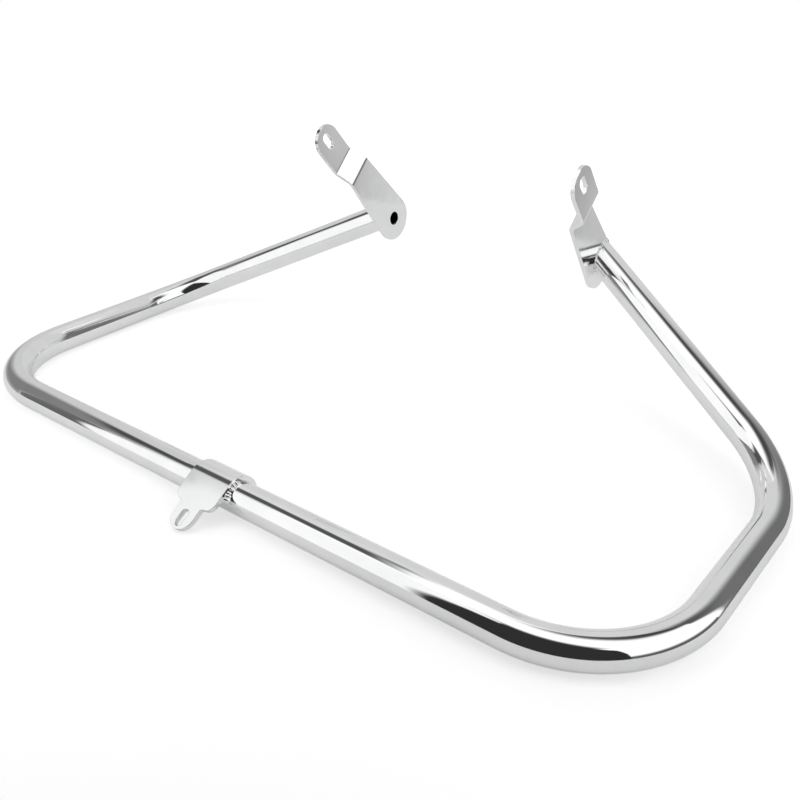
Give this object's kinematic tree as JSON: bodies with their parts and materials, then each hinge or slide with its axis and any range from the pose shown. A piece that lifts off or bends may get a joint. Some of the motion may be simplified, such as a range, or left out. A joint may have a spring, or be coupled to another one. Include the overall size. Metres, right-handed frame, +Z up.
{
  "type": "motorcycle crash bar",
  "caption": "Chromed engine guard: a bent tube loop with folded, slotted upper brackets welded over its ends and a slotted saddle bracket on its lower bar.",
  "frame": {"origin": "centre of the bounding box in plan, on the ground that the guard lies on", "axes": "+X to the guard's right along its straight bar, +Y from the straight bar towards the upper brackets, +Z up from the ground, out of the loop's plane"},
  "size_m": [0.878, 0.5232, 0.2623],
  "materials": {
    "chrome": "polished",
    "weld": "polished"
  },
  "bodies": {
    "root": {"guard_tube": "chrome", "left_upper_bracket": "chrome", "right_upper_bracket": "chrome", "lower_bracket": "chrome", "left_upper_weld": "weld", "right_upper_weld": "weld", "lower_left_weld": "weld", "lower_right_weld": "weld"}
  },
  "joints": []
}
